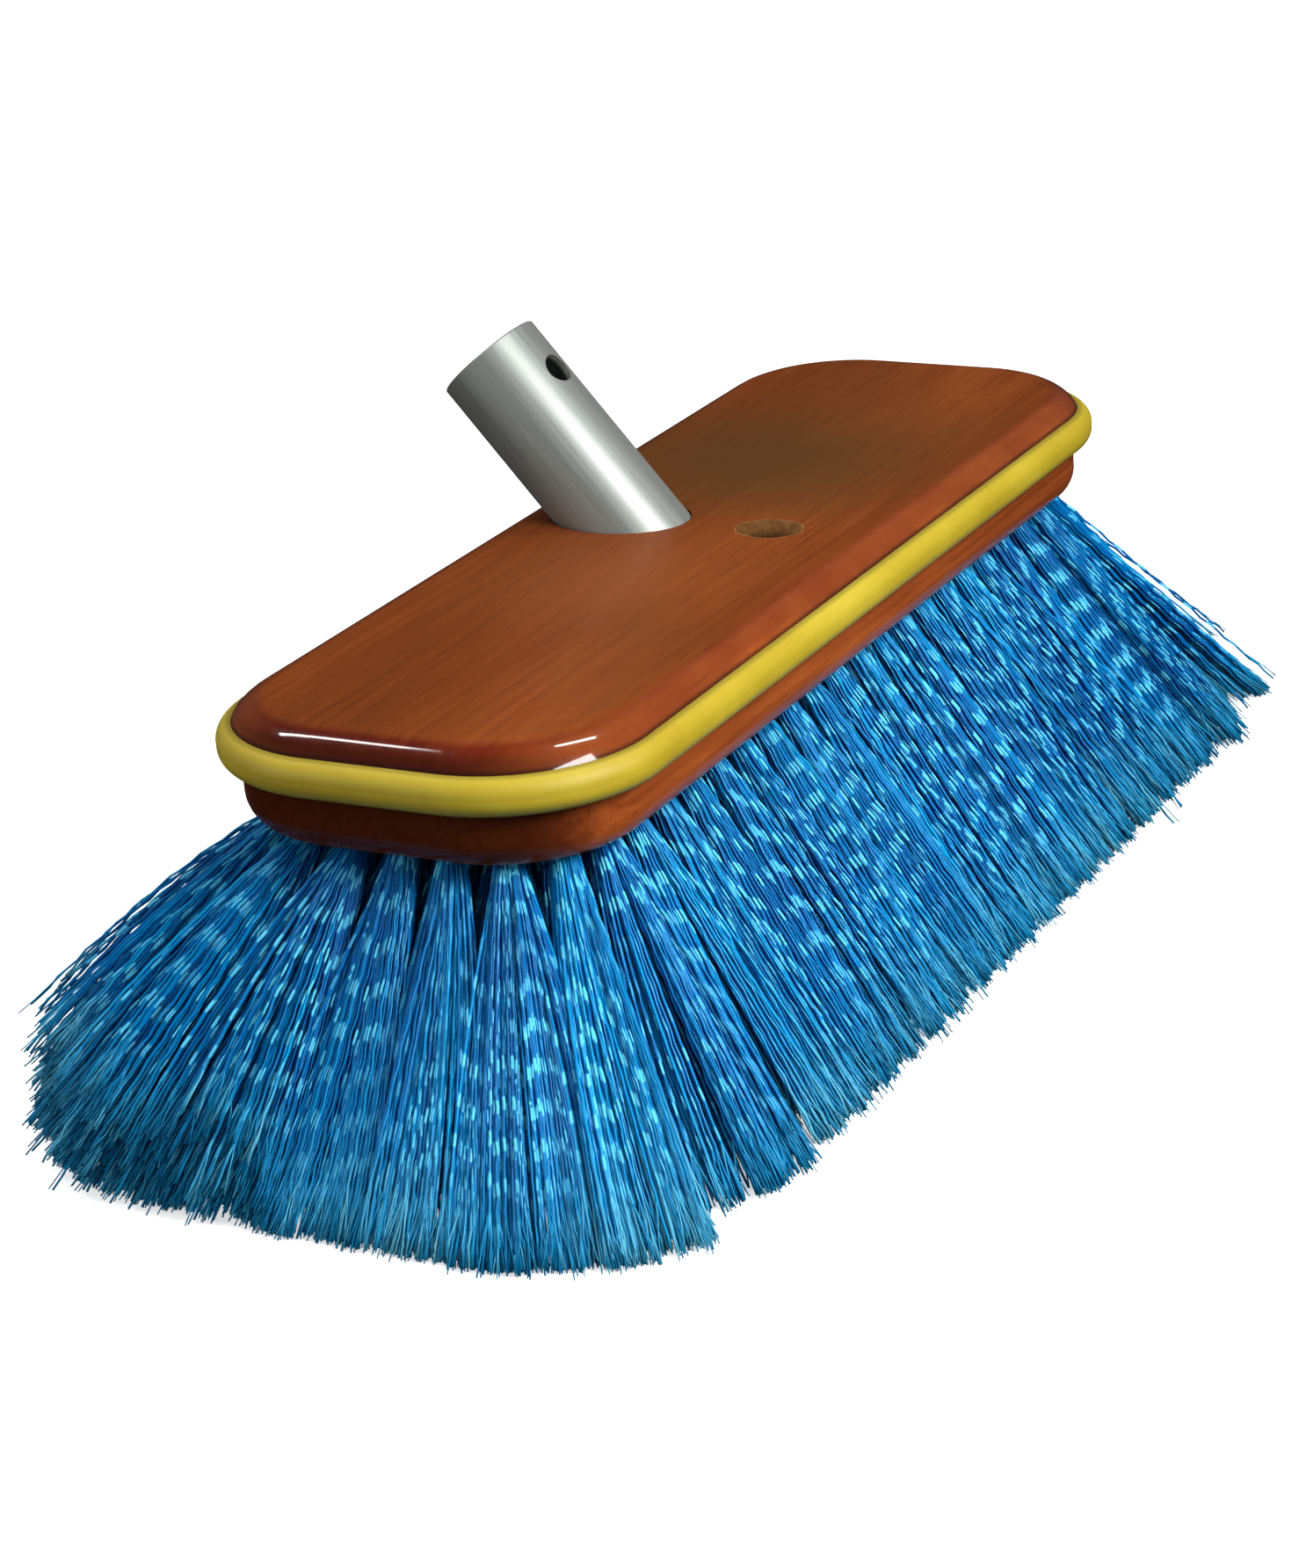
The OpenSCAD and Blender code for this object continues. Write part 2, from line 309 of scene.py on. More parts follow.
def tip_places(tip, out, tangent, room, drawn, lock, splay):
    """Where a tuft's filaments end, and how far splaying lifts each."""
    count = len(drawn)
    spread_out = np.where(drawn[:, 0] > 0, room["out"], room["in"])
    spread_across = np.where(drawn[:, 1] > 0, room["left"], room["right"])
    xy = (
        tip[:2]
        + (drawn[:, :1] * spread_out[:, None]) * out
        + (drawn[:, 1:] * spread_across[:, None]) * tangent
        + rng.normal(0, TIP_SCATTER, (count, 2))
    )
    lifted = splay * np.clip(drawn[:, 0] + 0.35, 0, 1) ** 1.5
    lift = lifted * rng.uniform(0.2, 1, count) * REAR_LIFT
    xy = xy + out * lift[:, None] * 0.7
    lock_short = rng.normal(LOCK_TRIM, LOCK_TRIM_SCATTER, LOCKS)[lock]
    xy = inside_footprint(xy, lock_short + np.abs(rng.normal(0, TRIM_SCATTER, count)))
    z = np.abs(rng.normal(0, TIP_RISE, count))
    z = z + np.abs(rng.normal(0, TIP_RISE, LOCKS))[lock] + 0.1 * MM
    z += lift
    stray = rng.random(count) < STRAY_SHARE
    xy += np.where(stray, rng.uniform(*STRAY_OUT, count), 0)[:, None] * out
    z += np.where(stray, rng.uniform(*STRAY_UP, count), 0)
    return np.column_stack([xy, z]), lift


def smooth_paths(exits, tips, down, out, lift, rings_per_wave):
    """Paths [filament, ring, xyz] without the crimp, and each ring's share of the length.

    The share is negative inside the wood.
    """
    length = np.linalg.norm(tips - exits, axis=1)
    rings = int(round(length.mean() / WAVE * rings_per_wave)) + 2
    s = np.linspace(-ROOT_DEPTH / length.mean(), 1, rings)
    f = np.clip(s, 0, None)
    lead = exits[:, None] + (down * length[:, None])[:, None] * f[None, :, None]
    # a filament fans out fastest as it leaves the wood
    aside = tips - (exits + down * length[:, None])
    path = lead + aside[:, None] * (f * (1.4 - 0.4 * f))[None, :, None]
    roots = exits - down * ROOT_DEPTH
    in_wood = exits[:, None] + (exits - roots)[:, None] * (s / -s[0])[None, :, None]
    path = np.where(s[None, :, None] < 0, in_wood, path)
    bow = (lift * 0.25)[:, None] * (f * (1 - f))[None].clip(0)
    return path + bow[..., None] * np.append(out, 0), s, length


def crimped(path, s, length, axis, e1, e2, lock):
    """The paths with their crimp, and the turns of the crimp wave at each ring."""
    count = len(path)
    f = np.clip(s, 0, None)
    sway = rng.normal(0, 0.30, count)
    sway = sway + np.where(rng.random(count) < 0.12, rng.uniform(-1.6, 1.6, count), 0)
    way = np.cos(sway)[:, None] * e1 + np.sin(sway)[:, None] * e2
    way = unit(way - axis * (way * axis).sum(1, keepdims=True))
    # the waves of one lock lie nearly side by side
    phase = rng.uniform(-math.pi, math.pi, LOCKS)[lock] + rng.normal(0, 0.85, count)
    length_of_wave = WAVE * rng.uniform(0.94, 1.06) * rng.uniform(0.98, 1.02, count)
    fade_in = np.clip(f * length.mean() / CRIMP_FADE_IN, 0, 1)
    amp = CRIMP * rng.uniform(0.8, 1.15, count)
    turns = f[None] * (length / length_of_wave)[:, None] + phase[:, None] / (2 * np.pi)
    wave = np.sin(2 * np.pi * turns)
    path = path + (amp[:, None] * fade_in[None] * wave)[..., None] * way[:, None]
    path[:, :, 2] = np.maximum(path[:, :, 2], FILAMENT_LOWEST)
    return path, turns


def split_ends(path, s, tone):
    """Finer filaments that fork from the last stretch of each path."""
    count, rings, _ = path.shape
    total = count * FLAGS
    split = int(rings * FLAG_START)
    start = np.repeat(path[:, split], FLAGS, 0)
    end = np.repeat(path[:, -1], FLAGS, 0)
    end = end + rng.normal(0, FLAG_SPREAD, (total, 3)) * [1, 1, 0.6]
    end[:, 2] = np.clip(end[:, 2], FLAG_LOWEST, None)
    t = np.linspace(0, 1, FLAG_RINGS)
    fine = start[:, None] + (end - start)[:, None] * t[None, :, None]
    fine[:, 1:-1] += rng.normal(0, 0.15 * MM, fine[:, 1:-1].shape)
    fine[:, :, 2] = np.maximum(fine[:, :, 2], FLAG_LOWEST)
    radii = FLAG_R * rng.uniform(0.7, 1.1, (total, 1)) * np.ones(FLAG_RINGS)
    co, quads, caps = strand_mesh(fine, radii)
    return (
        co,
        quads,
        caps,
        np.repeat(np.clip(np.repeat(tone, FLAGS) + 0.1, 0, 1), FLAG_RINGS * SIDES),
        np.tile(np.repeat(s[split] + (1 - s[split]) * t, SIDES), total),
        np.zeros(len(co)),
    )


def tuft_strands(leaves, down, count, rings_per_wave, node_is_outer):
    """Crimped filaments of one tuft, and the finer split ends at their tips."""
    tip = leaves + down * (leaves[2] / -down[2])
    splay = rear_splay(tip) if node_is_outer else 0.0
    out, tangent = tuft_ways(leaves, down)
    ways = {"out": out, "in": -out, "left": tangent, "right": -tangent}
    room = {key: room_towards(tip[:2], way) for key, way in ways.items()}
    # tufts that fan out wide, at the corners, are fuller
    wide = (room["left"] + room["right"]) / (2 * TIP_R) - WIDE_FROM
    count = int(count * (1 + 0.5 * splay + 0.45 * min(max(wide, 0), 1)))
    e1 = unit(np.append(out, 0) - down * (down[:2] @ out))
    e2 = np.cross(down, e1)
    if e2[:2] @ tangent < 0:
        e2 = -e2
    uv, lock, drawn = scatter(count)
    tips, lift = tip_places(tip, out, tangent, room, drawn, lock, splay)
    exits = leaves + (TUFT_R - FILAMENT_R) * (uv[:, :1] * e1 + uv[:, 1:] * e2)
    path, s, length = smooth_paths(exits, tips, down, out, lift, rings_per_wave)
    path, turns = crimped(path, s, length, unit(tips - exits), e1, e2, lock)
    f = np.clip(s, 0, None)
    taper = np.where(f > TAPER_FROM, 1 - TAPER * (f - TAPER_FROM), 1)
    radii = FILAMENT_R * rng.uniform(0.85, 1.1, (count, 1)) * taper[None]
    tuft_tone = rng.uniform(-0.12, 0.12)
    tone = np.clip(0.5 + tuft_tone + rng.normal(0, 0.16, count), 0, 1)
    co, quads, caps = strand_mesh(path, radii)
    filaments = (
        co,
        quads,
        caps,
        np.repeat(tone, len(s) * SIDES),
        np.tile(np.repeat(np.clip(s, 0, 1), SIDES), count),
        np.repeat(turns, SIDES, axis=1).ravel(),
    )
    return [filaments, split_ends(path, s, tone)]


def make_bristles():
    made = []
    for node, (count, rings_per_wave, split) in ROWS.items():
        tufts = sorted(TUFTS[node], key=lambda t: (round(t[0][0], 5), t[0][1]))
        for k, group in enumerate(np.array_split(np.arange(len(tufts)), split)):
            parts = []
            for i in group:
                parts += tuft_strands(*tufts[i], count, rings_per_wave, "outer" in node)
            name = node.replace("tufts", "bristles") + (f"_{k + 1}" if split > 1 else "")
            piece = build_piece(name, parts)
            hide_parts(node)
            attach(piece, "root")
            made.append(piece)
    return made


# ---- materials --------------------------------------------------------------
class Tree:
    """A small helper round one material's node tree."""

    def __init__(self, name):
        self.mat = bpy.data.materials.new(name)
        self.mat.use_nodes = True
        self.nt = self.mat.node_tree
        self.shader = self.nt.nodes["Principled BSDF"]

    def add(self, kind, inputs=None, **props):
        node = self.nt.nodes.new("ShaderNode" + kind)
        for key, value in props.items():
            setattr(node, key, value)
        for key, value in (inputs or {}).items():
            self.put(node.inputs[key], value)
        return node

    def put(self, socket, value):
        if isinstance(value, bpy.types.NodeSocket):
            self.nt.links.new(value, socket)
        else:
            socket.default_value = value

    def math(self, op, a, b=0.0, c=0.0, clamp=False):
        return self.add(
            "Math", {0: a, 1: b, 2: c}, operation=op, use_clamp=clamp
        ).outputs[0]

    def times(self, a, b, clamp=False):
        return self.math("MULTIPLY", a, b, clamp=clamp)

    def plus(self, a, b, clamp=False):
        return self.math("ADD", a, b, clamp=clamp)

    def inverse(self, value):
        """1 less the value."""
        return self.math("SUBTRACT", 1.0, value)

    def vec(self, op, a, b=(0, 0, 0)):
        node = self.add("VectorMath", {0: a, 1: b}, operation=op)
        scalar = op in ("LENGTH", "DOT_PRODUCT", "DISTANCE")
        return node.outputs["Value" if scalar else "Vector"]

    def where(self):
        return self.add("TexCoord").outputs["Object"]

    def facing(self, axis):
        """How far the surface faces along an axis, from -1 to 1."""
        normal = self.add("NewGeometry").outputs["Normal"]
        return self.add("SeparateXYZ", {"Vector": normal}).outputs[axis]

    def stretched(self, scale, offset=(0, 0, 0)):
        return self.add(
            "Mapping", {"Vector": self.where(), "Scale": scale, "Location": offset}
        ).outputs[0]

    def noise(self, vector, scale, detail=4.0, rough=0.55):
        return self.add(
            "TexNoise",
            {
                "Vector": vector,
                "Scale": scale,
                "Detail": detail,
                "Roughness": rough,
                "Distortion": 0.0,
            },
        ).outputs["Fac"]

    def ramp(self, value, *stops):
        node = self.add("ValToRGB", {"Fac": value})
        ramp = node.color_ramp
        ramp.interpolation = "LINEAR"
        while len(ramp.elements) < len(stops):
            ramp.elements.new(0.5)
        for element, (at, colour) in zip(ramp.elements, stops):
            element.position = at
            element.color = (*colour, 1)
        return node.outputs["Color"]

    def mix(self, fac, a, b):
        node = self.add("Mix", data_type="RGBA", blend_type="MIX")
        self.put(node.inputs["Factor"], fac)
        for socket, value in ((node.inputs[6], a), (node.inputs[7], b)):
            self.put(socket, (*value, 1) if isinstance(value, tuple) else value)
        return node.outputs[2]

    def band(self, value, lo, hi):
        """0 below lo, 1 above hi, smooth between."""
        node = self.add(
            "MapRange",
            {"Value": value, "From Min": lo, "From Max": hi},
            interpolation_type="SMOOTHSTEP",
        )
        return node.outputs[0]

    def bump(self, height, distance, strength=1.0, normal=None):
        inputs = {"Height": height, "Distance": distance, "Strength": strength}
        if normal is not None:
            inputs["Normal"] = normal
        return self.add("Bump", inputs).outputs[0]

    def from_line(self, point, axis):
        """Distance of the shaded point from a line."""
        rel = self.vec("SUBTRACT", self.where(), tuple(point))
        return self.vec("LENGTH", self.vec("CROSS_PRODUCT", rel, tuple(axis)))

    def finish(self, colour=None, rough=None, normal=None, **fixed):
        for key, value in fixed.items():
            self.shader.inputs[key.replace("_", " ")].default_value = value
        if colour is not None:
            self.put(self.shader.inputs["Base Color"], colour)
        if rough is not None:
            self.put(self.shader.inputs["Roughness"], rough)
        if normal is not None:
            self.put(self.shader.inputs["Normal"], normal)
        return self.mat


def rgb(r, g, b):
    """A colour on the usual 0 to 255 display scale, as the linear values that shaders take."""
    return tuple(
        c / 12.92 if c <= 0.04045 else ((c + 0.055) / 1.055) ** 2.4
        for c in (r / 255, g / 255, b / 255)
    )


def varnished_wood():
    t = Tree("varnished_wood")
    _, y, z = t.add("SeparateXYZ", {"Vector": t.where()}).outputs
    up = t.facing("Z")
    # grain: growth rings drawn out along the block, with fine pores
    warp = t.noise(t.stretched((3, 10, 10)), 2.2, 3)
    ring_at = t.plus(t.times(y, 95.0), t.times(warp, 9.0))
    ring_at = t.plus(ring_at, t.times(z, 60.0))
    rings = t.math("MULTIPLY_ADD", t.math("SINE", ring_at), 0.5, 0.5)
    streaks = t.noise(t.stretched((7, 190, 190)), 3.0, 5, 0.6)
    pores = t.noise(t.stretched((40, 900, 900)), 1.6, 3, 0.6)
    cloud = t.noise(t.stretched((9, 16, 16), (3.1, 0.4, 0)), 1.3, 3, 0.5)
    grain = t.plus(t.times(rings, 0.30), t.times(streaks, 0.70))
    top = t.ramp(
        grain,
        (0.2, rgb(92, 43, 15)),
        (0.48, rgb(111, 53, 19)),
        (0.62, rgb(120, 59, 23)),
        (0.85, rgb(132, 68, 28)),
    )
    top = t.mix(t.times(t.band(cloud, 0.5, 0.72), 0.4), top, rgb(92, 54, 24))
    # a darker patch behind the handle, and in front of it a lighter patch that is a painted
    # sheen
    for at, reach, share, tint in (
        ((46 * MM, 6 * MM, BLOCK_TOP), 60 * MM, 0.85, rgb(80, 52, 24)),
        ((-34 * MM, 2 * MM, BLOCK_TOP), 42 * MM, 0.4, rgb(124, 68, 32)),
    ):
        ragged = t.times(t.math("SUBTRACT", cloud, 0.5), 60 * MM)
        away = t.plus(t.vec("DISTANCE", t.where(), at), ragged)
        near = t.inverse(t.band(away, 0.25 * reach, reach))
        top = t.mix(t.times(near, share), top, tint)
    side = t.ramp(
        grain,
        (0.25, rgb(122, 56, 22)),
        (0.5, rgb(156, 78, 34)),
        (0.75, rgb(178, 98, 46)),
    )
    # the stain gathers on the rounded edge and reads redder and darker there
    edge_wobble = t.times(t.math("SUBTRACT", t.noise(t.where(), 55, 3), 0.5), 0.05)
    flat = t.band(t.plus(up, edge_wobble), 0.90, 0.992)
    rounded = t.mix(t.band(grain, 0.3, 0.75), rgb(80, 20, 7), rgb(106, 36, 12))
    # along the block the rounded edge is painted a lighter orange brown, a painted light on the
    # long sides
    long_edge = t.band(t.math("ABSOLUTE", t.facing("Y")), 0.12, 0.5)
    blotch = t.band(t.noise(t.where(), 40, 4, 0.6), 0.2, 0.85)
    painted_lit_colour = t.mix(blotch, rgb(116, 50, 21), rgb(140, 71, 30))
    rounded = t.mix(t.times(long_edge, 0.9), rounded, painted_lit_colour)
    worn = t.times(t.band(t.noise(t.where(), 34, 3, 0.6), 0.45, 0.7), 0.8)
    low_round = t.inverse(t.band(up, 0.56, 0.74))
    rounded = t.mix(t.times(low_round, worn), rounded, rgb(166, 84, 30))
    colour = t.mix(t.band(up, 0.2, 0.5), side, rounded)
    colour = t.mix(flat, colour, top)
    # the end faces are painted much darker, partly because end grain drinks more stain and
    # partly as painted shade
    end_grain_and_shade = t.times(t.band(t.math("ABSOLUTE", t.facing("X")), 0.3, 0.85), 0.9)
    colour = t.mix(end_grain_and_shade, colour, rgb(52, 16, 7))
    # darker line where the wood meets the bumper: a dark joint, painted darker still as the
    # shadow line there
    from_edge = t.math("ABSOLUTE", t.math("SUBTRACT", z, EDGE_Z))
    seam_and_shade = t.inverse(t.band(from_edge, 0.1 * MM, 0.9 * MM))
    colour = t.mix(t.times(seam_and_shade, 0.75), colour, rgb(34, 16, 10))
    colour = t.mix(t.times(t.band(pores, 0.60, 0.72), 0.35), colour, rgb(60, 26, 12))
    # bare wood inside the drilled holes, and a worn ring where they break the surface
    bare = t.mix(t.band(streaks, 0.35, 0.65), rgb(126, 84, 46), rgb(150, 106, 62))
    # deep in the holes the bare wood is painted dark, a painted shade in the recess
    bare = t.mix(t.band(z, BLOCK_TOP - 5.5 * MM, BLOCK_TOP - 1.5 * MM), rgb(46, 30, 20), bare)
    chip = t.times(t.math("SUBTRACT", t.noise(t.where(), 420, 3), 0.45), 1.4 * MM)
    bore = t.math("SUBTRACT", t.from_line(FERRULE_FOOT, FERRULE_AXIS), chip)
    pocket = t.math("SUBTRACT", t.from_line(POCKET_MOUTH, SCREW_AXIS), t.times(chip, 0.5))
    bore_r = TUBE_R + FERRULE_GAP
    in_bore = t.inverse(t.band(bore, bore_r - 0.75 * MM, bore_r - 0.5 * MM))
    in_pocket = t.inverse(t.band(pocket, POCKET_R + 0.05 * MM, POCKET_R + 0.15 * MM))
    underside = t.inverse(t.band(z, UNDERSIDE + 0.05 * MM, UNDERSIDE + 0.3 * MM))
    near_top = t.band(z, BLOCK_TOP - 9 * MM, BLOCK_TOP - 8 * MM)
    raw = t.math("MAXIMUM", in_bore, t.times(in_pocket, near_top))
    colour = t.mix(raw, colour, bare)
    colour = t.mix(t.times(underside, 0.5), colour, rgb(120, 62, 28))
    rough = t.plus(t.times(flat, 0.20), t.times(streaks, 0.16))
    rough = t.plus(t.plus(rough, 0.16), t.times(raw, 0.4), clamp=True)
    coat = t.inverse(t.times(flat, 0.98))
    coat = t.times(coat, t.math("MULTIPLY_ADD", t.band(up, 0.2, 0.5), 0.75, 0.25))
    coat = t.times(coat, t.inverse(raw), clamp=True)
    t.put(t.shader.inputs["Coat Weight"], coat)
    fine = t.bump(streaks, 0.10 * MM, 0.35)
    normal = t.bump(pores, 0.05 * MM, 0.3, fine)
    coat_bump = t.bump(t.noise(t.where(), 60, 2), 0.10 * MM, 0.25)
    t.put(t.shader.inputs["Coat Normal"], coat_bump)
    return t.finish(
        colour, rough, normal, Specular_IOR_Level=0.05, Coat_Roughness=0.06, Coat_IOR=1.5
    )


def yellow_vinyl():
    t = Tree("yellow_vinyl")
    z = t.add("SeparateXYZ", {"Vector": t.where()}).outputs["Z"]
    cloud = t.noise(t.where(), 26, 4, 0.6)
    speck = t.noise(t.where(), 900, 2, 0.5)
    lines = t.noise(t.stretched((6, 6, 700)), 1.0, 3, 0.6)
    colour = t.ramp(
        cloud, (0.3, rgb(162, 140, 23)), (0.55, rgb(176, 155, 32)), (0.75, rgb(187, 167, 44))
    )
    # the lower half of the bumper is painted darker and greener, a painted shade
    low = t.inverse(t.band(z, BUMPER_Z - 0.2 * MM, BUMPER_Z + 0.45 * BUMPER_H))
    colour = t.mix(t.times(low, 0.55), colour, rgb(140, 128, 30))
    colour = t.mix(t.times(t.band(speck, 0.66, 0.76), 0.35), colour, rgb(130, 118, 40))
    # darker lines at the bumper's lower edge and along its top joint with the wood: dark joints,
    # painted darker as the shade lines there
    edge = t.inverse(t.band(z, BUMPER_Z + 0.05 * MM, BUMPER_Z + 0.5 * MM))
    rim = t.band(z, EDGE_Z - 0.5 * MM, EDGE_Z - 0.05 * MM)
    colour = t.mix(t.times(t.math("MAXIMUM", edge, rim), 0.5), colour, rgb(96, 84, 22))
    rough = t.plus(t.times(cloud, 0.22), 0.42)
    normal = t.bump(lines, 0.05 * MM, 0.3, t.bump(speck, 0.03 * MM, 0.35))
    return t.finish(colour, rough, normal, Specular_IOR_Level=0.4)


def satin_aluminium():
    t = Tree("satin_aluminium")
    rel = t.vec("SUBTRACT", t.where(), tuple(FERRULE_FOOT))
    along = t.vec("DOT_PRODUCT", rel, tuple(FERRULE_AXIS))
    # drawing lines run along the tube: the pattern changes across it and hardly along it
    across = t.vec("DOT_PRODUCT", rel, tuple(FERRULE_AXIS.cross(Vector((1, 0, 0)))))
    x = t.add("SeparateXYZ", {"Vector": rel}).outputs["X"]
    drawn = t.add(
        "CombineXYZ", {"X": x, "Y": across, "Z": t.times(along, 0.02)}
    ).outputs[0]
    lines = t.noise(drawn, 1500, 3, 0.6)
    broad = t.noise(drawn, 260, 2, 0.5)
    stain = t.noise(t.where(), 90, 4, 0.6)
    colour = t.ramp(
        lines, (0.3, rgb(146, 151, 146)), (0.6, rgb(158, 163, 158)), (0.8, rgb(170, 174, 170))
    )
    colour = t.mix(t.times(t.band(stain, 0.55, 0.8), 0.35), colour, rgb(150, 154, 150))
    # the bore is painted dark, a painted shade inside the tube
    from_axis = t.from_line(FERRULE_FOOT, FERRULE_AXIS)
    inside = t.inverse(
        t.band(from_axis, TUBE_R - 0.9 * TUBE_WALL, TUBE_R - 0.5 * TUBE_WALL)
    )
    colour = t.mix(t.times(inside, 0.9), colour, rgb(46, 50, 48))
    rough = t.plus(t.times(lines, 0.18), t.times(broad, 0.12))
    rough = t.plus(rough, 0.30)
    normal = t.bump(lines, 0.02 * MM, 0.25)
    return t.finish(colour, rough, normal, Metallic=0.62)


def dark_steel():
    t = Tree("dark_steel")
    mottle = t.noise(t.where(), 700, 4, 0.6)
    colour = t.ramp(
        mottle, (0.35, rgb(52, 50, 50)), (0.6, rgb(96, 94, 94)), (0.75, rgb(150, 148, 146))
    )
    rough = t.plus(t.times(mottle, 0.35), 0.2)
    return t.finish(colour, rough, t.bump(mottle, 0.04 * MM, 0.5), Metallic=1.0)


def anchor_wire():
    t = Tree("anchor_wire")
    mottle = t.noise(t.where(), 900, 3, 0.6)
    colour = t.ramp(mottle, (0.35, rgb(150, 142, 126)), (0.7, rgb(196, 190, 176)))
    rough = t.plus(t.times(mottle, 0.3), 0.25)
    return t.finish(colour, rough, t.bump(mottle, 0.02 * MM, 0.4), Metallic=1.0)


def blue_bristle():
    t = Tree("blue_bristle")
    tone = t.add("Attribute", attribute_name="tone").outputs["Fac"]
    along = t.add("Attribute", attribute_name="along").outputs["Fac"]
    turns = t.add("Attribute", attribute_name="crimp").outputs["Fac"]
    deep = t.ramp(
        tone,
        (0.1, rgb(0, 80, 146)),
        (0.45, rgb(0, 116, 184)),
        (0.7, rgb(0, 140, 202)),
        (0.95, rgb(8, 162, 216)),
    )
    # random navy patches, painted shade that stands in for the shade deep among the filaments
    cloud = t.noise(t.where(), 22, 3, 0.5)
    deep = t.mix(t.times(t.band(cloud, 0.46, 0.66), 0.5), deep, rgb(6, 70, 150))
    stripe = t.band(t.math("FRACT", t.times(tone, 23.3)), 0.62, 0.8)
    deep = t.mix(t.times(stripe, 0.4), deep, rgb(12, 48, 122))
    # the worn ends are paler
    pale = t.ramp(
        tone, (0.2, rgb(0, 104, 158)), (0.55, rgb(10, 132, 182)), (0.85, rgb(96, 180, 206))
    )
    wobble = t.times(t.math("SUBTRACT", t.noise(t.where(), 70, 3), 0.5), 0.25)
    to_tip = t.band(t.plus(along, wobble), 0.66, 0.98)
    colour = t.mix(to_tip, deep, pale)
    # painted highlights: a paler band on each crimp wave, just past the crest, where the
    # filament is also shinier
    angle = t.math("MULTIPLY_ADD", turns, 2 * math.pi, GLINT_SHIFT)
    painted_glints = t.band(t.math("SINE", angle), 0.3, 0.7)
    picked = t.band(t.math("FRACT", t.times(tone, 61.7)), 0.28, 0.48)
    patch = t.band(t.noise(t.where(), 30, 2, 0.5), 0.28, 0.50)
    painted_glints = t.times(painted_glints, picked)
    painted_glints = t.times(painted_glints, t.math("MULTIPLY_ADD", patch, 0.8, 0.2))
    painted_glints = t.times(painted_glints, t.inverse(to_tip))
    colour = t.mix(t.times(painted_glints, 0.9), colour, rgb(96, 212, 248))
    rough = t.plus(t.times(to_tip, 0.22), t.times(tone, 0.1))
    rough = t.math("SUBTRACT", t.plus(rough, 0.24), t.times(painted_glints, 0.12))
    t.shader.inputs["Specular Tint"].default_value = (0.25, 0.7, 1.0, 1.0)
    return t.finish(colour, rough, Specular_IOR_Level=0.55)


def floor_white():
    t = Tree("floor_white")
    tint = t.noise(t.where(), 3, 2)
    colour = t.ramp(tint, (0.3, (0.90, 0.90, 0.90)), (0.7, (0.92, 0.92, 0.92)))
    t.finish(colour, 0.9, Specular_IOR_Level=0.0)
    t.shader.inputs["Emission Color"].default_value = (1, 1, 1, 1)
    t.shader.inputs["Emission Strength"].default_value = 0.6
    # seen from below, the floor is clear, so that the tips can be looked at
    side = t.add("NewGeometry").outputs["Backfacing"]
    clear = t.add("BsdfTransparent").outputs[0]
    through = t.add("MixShader", {0: side, 1: t.shader.outputs[0], 2: clear})
    t.nt.links.new(through.outputs[0], t.nt.nodes["Material Output"].inputs["Surface"])
    return t.mat


def dress():
    by_slot = {
        "varnished_wood": varnished_wood(),
        "yellow_vinyl": yellow_vinyl(),
        "satin_aluminium": satin_aluminium(),
        "dark_steel": dark_steel(),
        "anchor_wire": anchor_wire(),
        "blue_bristle": blue_bristle(),
    }
    for part in frame["record"]["subparts"]:
        node = frame["nodes"][part["node"]]
        node.data.materials.clear()
        node.data.materials.append(by_slot[part["material_slot"]])
    return by_slot


# ---- stage, light and camera --------------------------------------------------
# How bright the world is below and above, how much of that shows in glossy surfaces, and how
# bright the backdrop looks to the camera
WORLD_LOW, WORLD_HIGH = 0.15, 0.5
WORLD_MIRRORED = 0.10
WORLD_SHOWN = 0.85
FLOOR_HALF = 6.0
# Camera: place in metres, direction and roll in degrees, focal length and sensor in millimetres
CAMERA_AT = Vector((-699.3, -366.8, 326.8)) * MM
CAMERA_AZ, CAMERA_EL, CAMERA_ROLL = -61.5, 20.95, -4.27
LENS, SENSOR = 95.45, 36
# Lamps: (name, place, aim, (width, height), watts, whether glossy surfaces mirror it)
LAMPS = (
    ("lamp_left", (-0.05, 0.73, 1.01), (-0.1, 0, 0.05), (0.10, 0.36), 2.2, True),
    ("left", (-0.75, 0.75, 0.35), (-0.05, 0, 0.05), (0.5, 0.4), 2.0, True),
    ("lamp_right", (0.37, -0.26, 1.16), (-0.1, 0, 0.05), (0.10, 0.36), 3, True),
    ("rear", (0.5, 1.2, 0.12), (0, 0, 0.04), (0.8, 0.5), 3.5, False),
    ("right", (-0.15, -0.48, 0.40), (-0.08, -0.03, 0.05), (0.28, 0.28), 4.6, True),
)


def make_floor():
    mesh = bpy.data.meshes.new("floor")
    half = FLOOR_HALF
    corners = [(-half, -half, 0), (half, -half, 0), (half, half, 0), (-half, half, 0)]
    mesh.from_pydata(corners, [], [(0, 1, 2, 3)])
    floor = bpy.data.objects.new("floor", mesh)
    floor.location.z = -0.2 * MM
    bpy.context.scene.collection.objects.link(floor)
    mesh.materials.append(floor_white())
    floor.visible_diffuse = False
    floor.visible_glossy = False


def area_light(name, place, aim, size, power, mirrored):
    data = bpy.data.lights.new(name, "AREA")
    data.shape = "RECTANGLE"
    data.size, data.size_y = size
    data.energy = power
    light = bpy.data.objects.new(name, data)
    light.location = place
    towards = Vector(aim) - Vector(place)
    light.rotation_euler = towards.to_track_quat("-Z", "Y").to_euler()
    light.visible_glossy = mirrored
    bpy.context.scene.collection.objects.link(light)


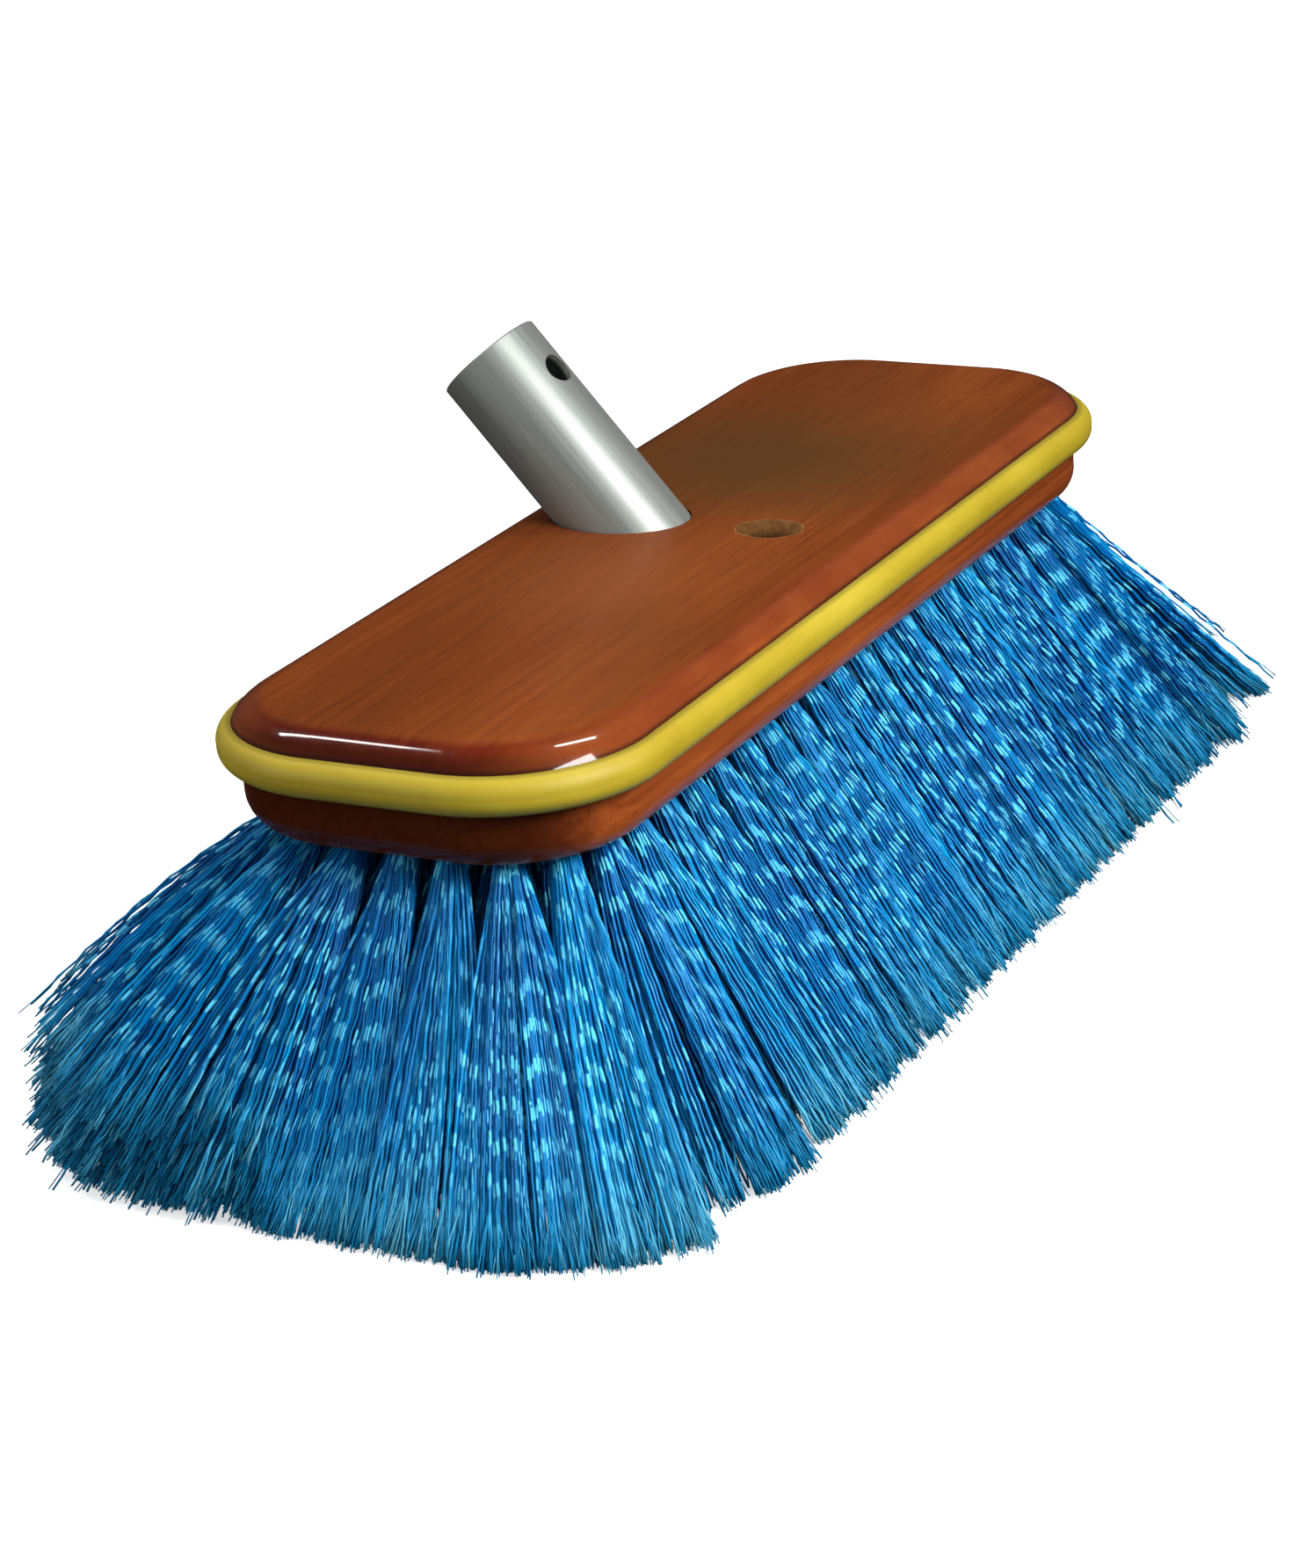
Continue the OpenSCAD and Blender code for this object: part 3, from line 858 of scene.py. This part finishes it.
def make_world():
    """Soft light from above and little from below.

    What shiny surfaces mirror is darker, as in a tent with dark gaps.
    """
    world = bpy.data.worlds.new("studio")
    world.use_nodes = True
    nt = world.node_tree
    back = nt.nodes["Background"]
    back.inputs["Color"].default_value = (1, 1, 1, 1)
    direction = nt.nodes.new("ShaderNodeTexCoord")
    height = nt.nodes.new("ShaderNodeSeparateXYZ")
    nt.links.new(direction.outputs["Generated"], height.inputs[0])
    level = nt.nodes.new("ShaderNodeMapRange")
    level.inputs["From Min"].default_value = -0.25
    level.inputs["From Max"].default_value = 0.35
    level.inputs["To Min"].default_value = WORLD_LOW
    level.inputs["To Max"].default_value = WORLD_HIGH
    nt.links.new(height.outputs["Z"], level.inputs["Value"])
    path = nt.nodes.new("ShaderNodeLightPath")
    share = nt.nodes.new("ShaderNodeMapRange")
    share.inputs["To Min"].default_value = 1.0
    share.inputs["To Max"].default_value = WORLD_MIRRORED
    nt.links.new(path.outputs["Is Glossy Ray"], share.inputs["Value"])
    strength = nt.nodes.new("ShaderNodeMath")
    strength.operation = "MULTIPLY"
    nt.links.new(level.outputs[0], strength.inputs[0])
    nt.links.new(share.outputs[0], strength.inputs[1])
    # the backdrop itself is as pale as the floor
    shown = nt.nodes.new("ShaderNodeMix")
    nt.links.new(path.outputs["Is Camera Ray"], shown.inputs[0])
    nt.links.new(strength.outputs[0], shown.inputs[2])
    shown.inputs[3].default_value = WORLD_SHOWN
    nt.links.new(shown.outputs[0], back.inputs["Strength"])
    bpy.context.scene.world = world


def make_camera():
    az, el, roll = map(math.radians, (CAMERA_AZ, CAMERA_EL, CAMERA_ROLL))
    back = Vector(
        (math.sin(az) * math.cos(el), -math.cos(az) * math.cos(el), math.sin(el))
    )
    right = (-back).cross(Vector((0, 0, 1))).normalized()
    up = right.cross(-back)
    turned_right = right * math.cos(roll) + up * math.sin(roll)
    turned_up = -right * math.sin(roll) + up * math.cos(roll)
    data = bpy.data.cameras.new("camera")
    data.lens = LENS
    data.sensor_width = SENSOR
    data.clip_start, data.clip_end = 0.05, 30
    camera = bpy.data.objects.new("camera", data)
    camera.matrix_world = Matrix.Translation(CAMERA_AT) @ Matrix(
        (turned_right, turned_up, back)
    ).transposed().to_4x4()
    bpy.context.scene.collection.objects.link(camera)
    bpy.context.scene.camera = camera


rng = np.random.default_rng(SEED)
materials = dress()
for bristles in make_bristles():
    bristles.data.materials.append(materials["blue_bristle"])
make_floor()
make_world()
for lamp in LAMPS:
    area_light(*lamp)
make_camera()
bpy.context.scene.view_settings.view_transform = "Standard"
